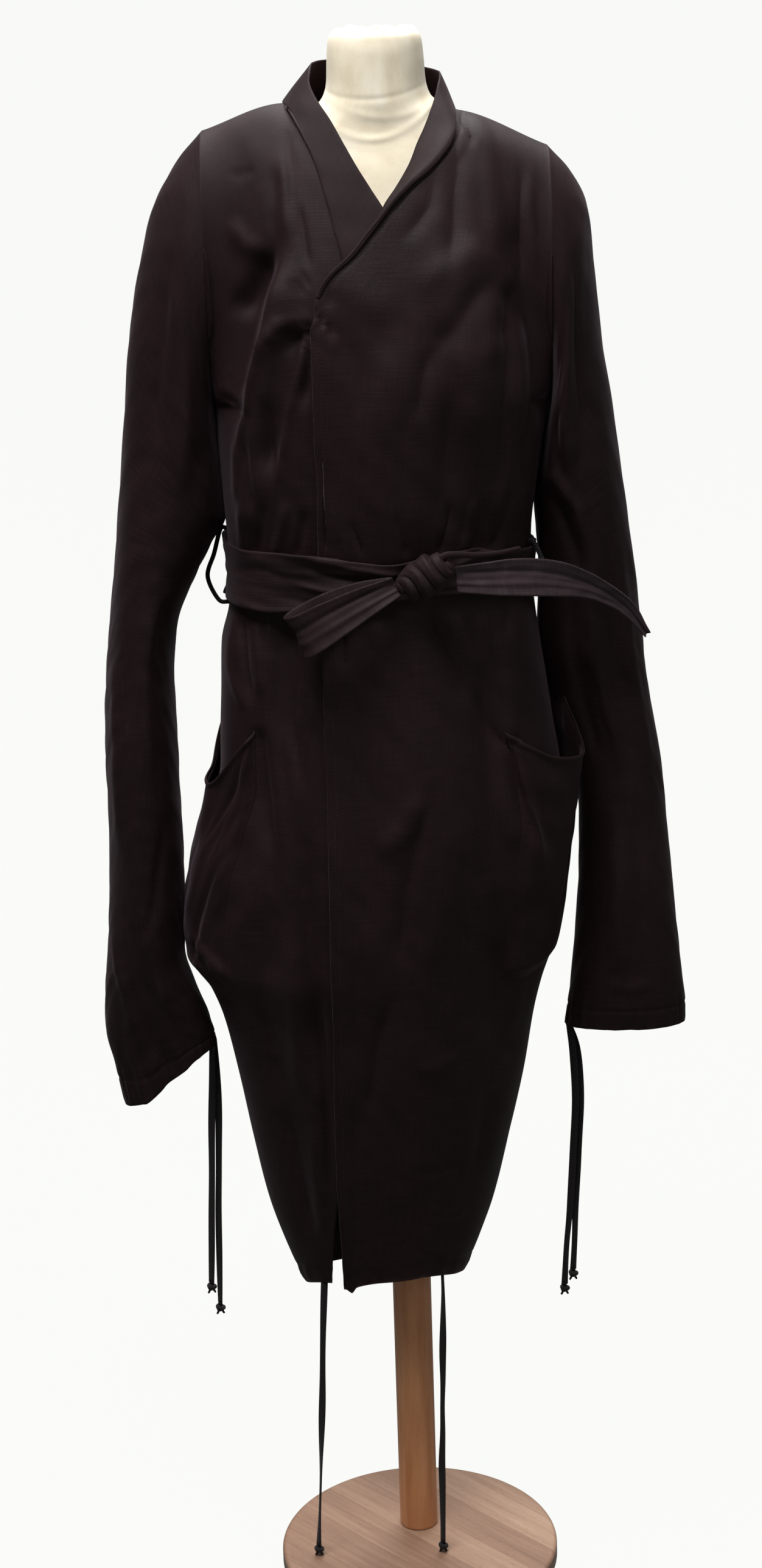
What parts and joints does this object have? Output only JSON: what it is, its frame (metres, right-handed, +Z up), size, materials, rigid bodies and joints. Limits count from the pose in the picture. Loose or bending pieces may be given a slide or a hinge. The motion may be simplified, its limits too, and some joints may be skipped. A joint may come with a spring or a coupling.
{
  "type": "wrap coat on dress form",
  "caption": "Long linen wrap coat with a tied belt and drawstring cuffs and hem, on a limbless dress form with a pole and round foot.",
  "frame": {"origin": "centre of the underside of the round foot", "axes": "+Z up, +X to the wearer's left, the coat's front faces -Y"},
  "size_m": [0.679, 0.336, 1.821],
  "materials": {
    "linen": "dark aubergine-brown plain-weave linen, slightly slubbed, matt with a faint sheen",
    "belt_linen": "the same linen, folded and pressed as a belt",
    "string": "near-black braided cotton drawstring",
    "jersey": "cream cotton jersey stretched over the form",
    "beech": "varnished beech with visible grain"
  },
  "bodies": {
    "root": {"foot": "beech", "pole": "beech", "dress_form": "jersey", "back_skirt": "linen", "back_bodice": "linen", "front_right_under_skirt": "linen", "front_right_under_bodice": "linen", "front_left_over_skirt": "linen", "front_left_over_bodice": "linen", "sleeve_right_upper": "linen", "sleeve_right_lower": "linen", "sleeve_right_cuff": "linen", "sleeve_left_upper": "linen", "sleeve_left_lower": "linen", "sleeve_left_cuff": "linen", "neckband": "linen", "pocket_right": "linen", "pocket_left": "linen", "belt": "belt_linen", "belt_knot": "belt_linen", "belt_bow_loop": "belt_linen", "belt_tail": "belt_linen", "belt_carrier_right": "string", "belt_carrier_left": "string", "cuff_cord_right_a": "string", "cuff_cord_right_b": "string", "cuff_cord_left_a": "string", "cuff_cord_left_b": "string", "hem_cord_right": "string", "hem_cord_left": "string"}
  },
  "joints": []
}
